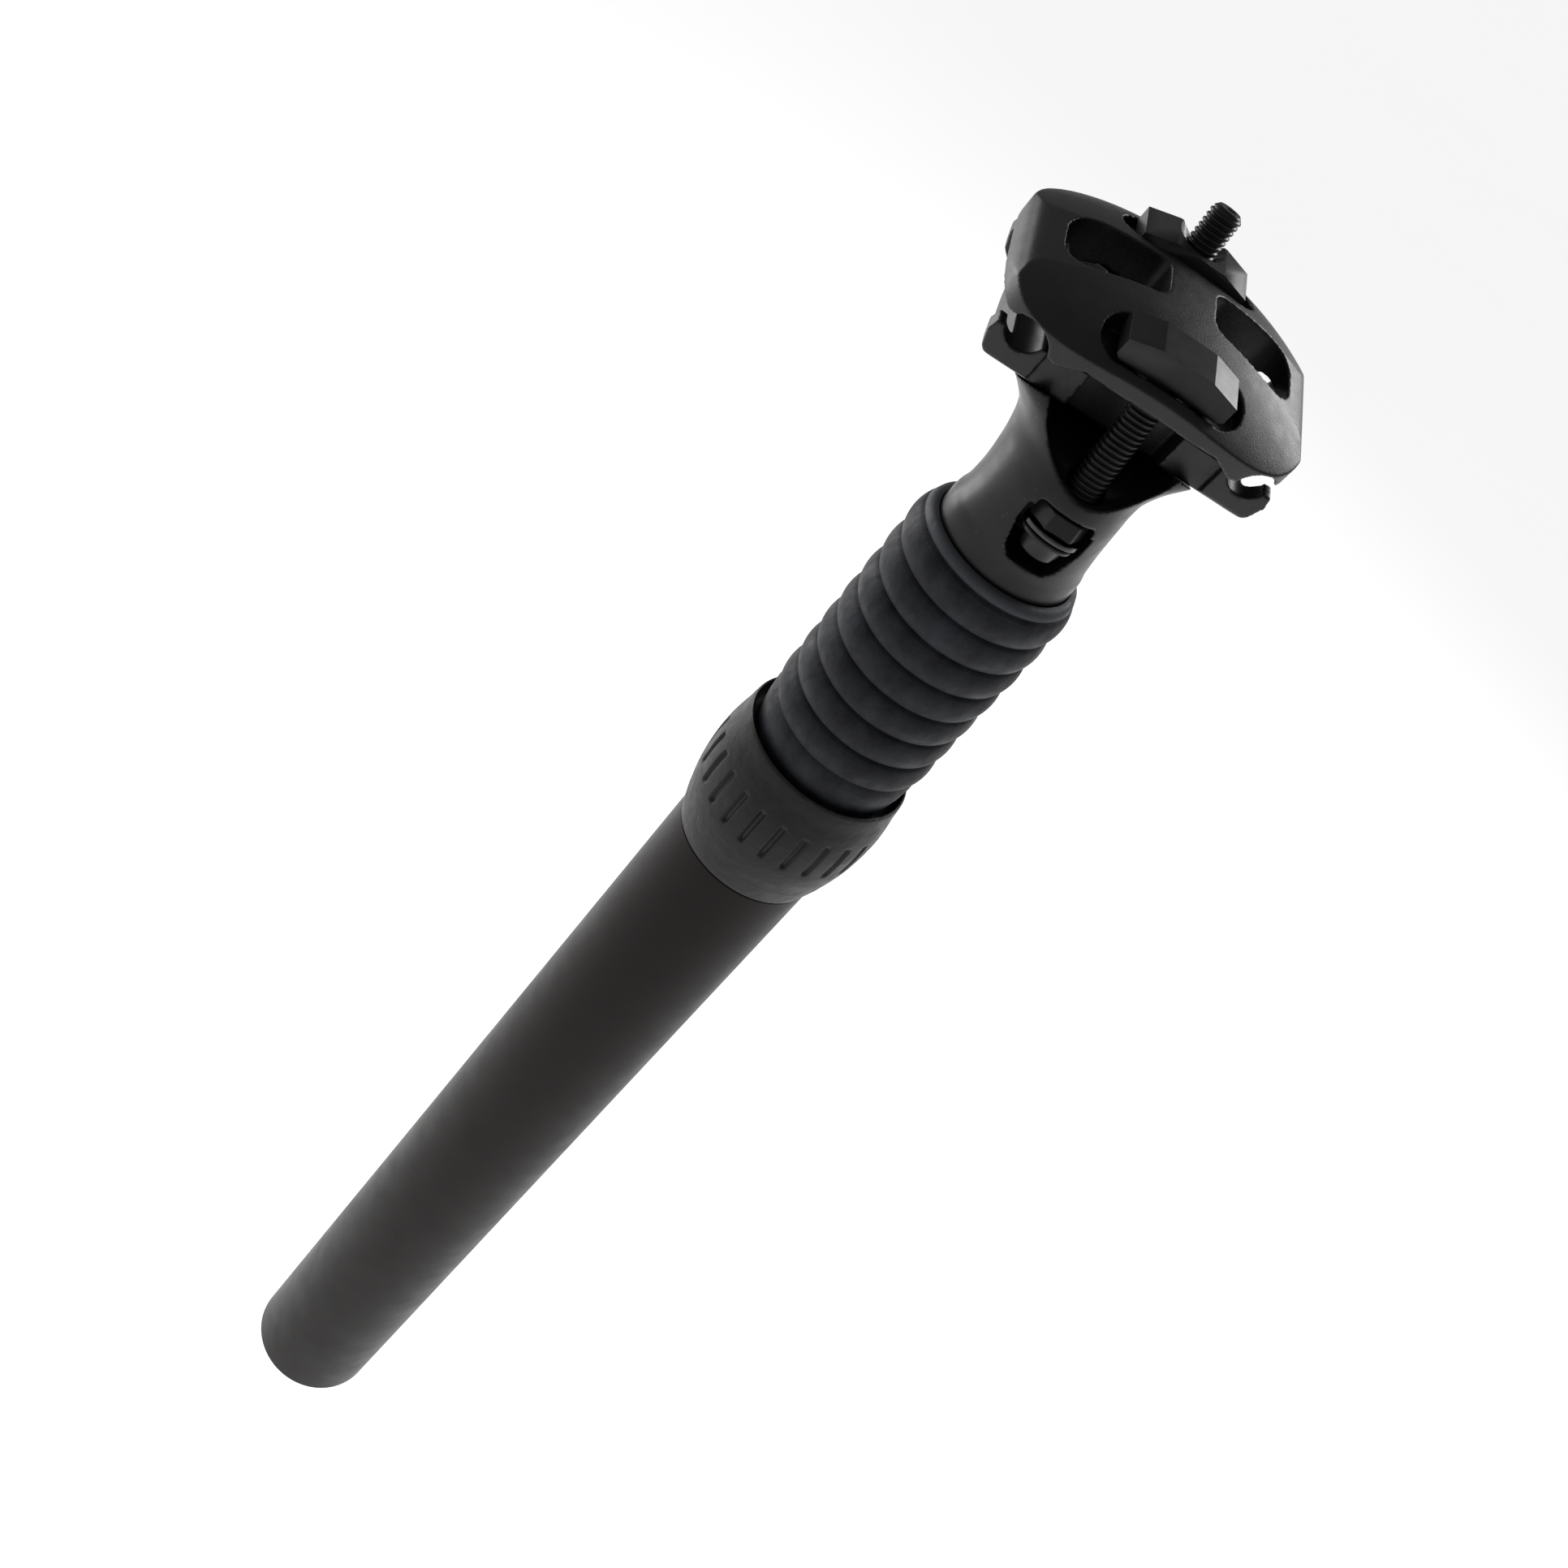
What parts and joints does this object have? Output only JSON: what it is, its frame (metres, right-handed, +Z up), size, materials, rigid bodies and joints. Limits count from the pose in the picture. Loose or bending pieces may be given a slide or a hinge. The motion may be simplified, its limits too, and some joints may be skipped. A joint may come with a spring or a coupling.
{
  "type": "suspension seatpost",
  "caption": "Telescopic sprung seatpost with a rubber bellows, a screw collar and a two-bolt clamp that holds a saddle's rails.",
  "frame": {"origin": "centre of the lower tube's bottom end", "axes": "+Z up the post towards the saddle, -Y towards the front clamp bolt, +X along the saddle's width"},
  "size_m": [0.058, 0.0545, 0.3767],
  "materials": {
    "anodised_tube": "satin black anodised",
    "anodised_collar": "fine grained black anodised",
    "forged_head": "satin black anodised forging",
    "clamp_black": "fine blasted black",
    "black_oxide": "black oxide",
    "washer_steel": "dark plated",
    "spring_steel": "oiled",
    "shaft_polished": "hard anodised and polished",
    "bellows_rubber": "matt",
    "seal_rubber": "matt",
    "elastomer_red": "matt",
    "bushing_polymer": "matt",
    "key_brass": "drawn"
  },
  "bodies": {
    "outer_tube": {"lower_tube": "anodised_tube", "collar": "anodised_collar", "upper_bushing": "bushing_polymer", "lower_bushing": "bushing_polymer", "wiper_seal": "seal_rubber", "guide_key_1": "key_brass", "guide_key_2": "key_brass", "guide_key_3": "key_brass", "bellows": "bellows_rubber"},
    "preload_carrier": {"spring_seat": "bushing_polymer", "main_spring": "spring_steel", "elastomer": "elastomer_red"},
    "plug": {"preload_plug": "anodised_tube", "plug_o_ring": "seal_rubber"},
    "slider": {"slider_shaft": "shaft_polished", "shaft_end": "bushing_polymer", "circlip": "spring_steel", "top_out_bumper": "seal_rubber", "head": "forged_head"},
    "cradle": {"lower_cradle": "clamp_black"},
    "top_clamp": {"top_clamp": "clamp_black"},
    "front_nut": {"front_nut": "black_oxide"},
    "rear_nut": {"rear_nut": "black_oxide"},
    "front_bolt": {"front_bolt": "black_oxide", "front_washer": "washer_steel"},
    "rear_bolt": {"rear_bolt": "black_oxide", "rear_washer": "washer_steel"}
  },
  "joints": [
    {"name": "suspension_slide", "type": "slide", "parent": "outer_tube", "child": "slider", "axis": [0, 0, 1], "range_m": [-0.038, 0], "stiffness_N_per_m": 12000, "springref_m": 0.01, "deforming": ["bellows", "main_spring"]},
    {"name": "clamp_tilt", "type": "hinge", "parent": "slider", "child": "cradle", "pos_m": [0, 0.0093, 0.3706], "axis": [1, 0, 0], "range_deg": [-3, 3]},
    {"name": "top_clamp_lift", "type": "slide", "parent": "cradle", "child": "top_clamp", "axis": [0, 0.165, 0.9863], "range_m": [0, 0.0025]},
    {"name": "front_nut_swivel", "type": "hinge", "parent": "top_clamp", "child": "front_nut", "pos_m": [0, -0.0062, 0.36884], "axis": [1, 0, 0], "range_deg": [-3, 3]},
    {"name": "rear_nut_swivel", "type": "hinge", "parent": "top_clamp", "child": "rear_nut", "pos_m": [0, 0.0248, 0.37237], "axis": [1, 0, 0], "range_deg": [-3, 3]},
    {"name": "front_bolt_turn", "type": "hinge", "parent": "slider", "child": "front_bolt", "pos_m": [0, -0.01096, 0.3352], "axis": [0, 0.1908, 0.9816], "continuous": true},
    {"name": "rear_bolt_turn", "type": "hinge", "parent": "slider", "child": "rear_bolt", "pos_m": [0, 0.02203, 0.3422], "axis": [0, 0.1392, 0.9903], "continuous": true},
    {"name": "preload_slide", "type": "slide", "parent": "outer_tube", "child": "preload_carrier", "axis": [0, 0, 1], "range_m": [-0.006, 0]},
    {"name": "preload_turn", "type": "hinge", "parent": "preload_carrier", "child": "plug", "pos_m": [0, 0, 0.013], "axis": [0, 0, 1], "range_deg": [-1440, 0]}
  ],
  "couplings": [
    {"joint": "front_nut_swivel", "follows": "clamp_tilt", "ratio": -1},
    {"joint": "rear_nut_swivel", "follows": "clamp_tilt", "ratio": -1},
    {"joint": "preload_turn", "follows": "preload_slide", "rad_per_m": 4188.8}
  ]
}
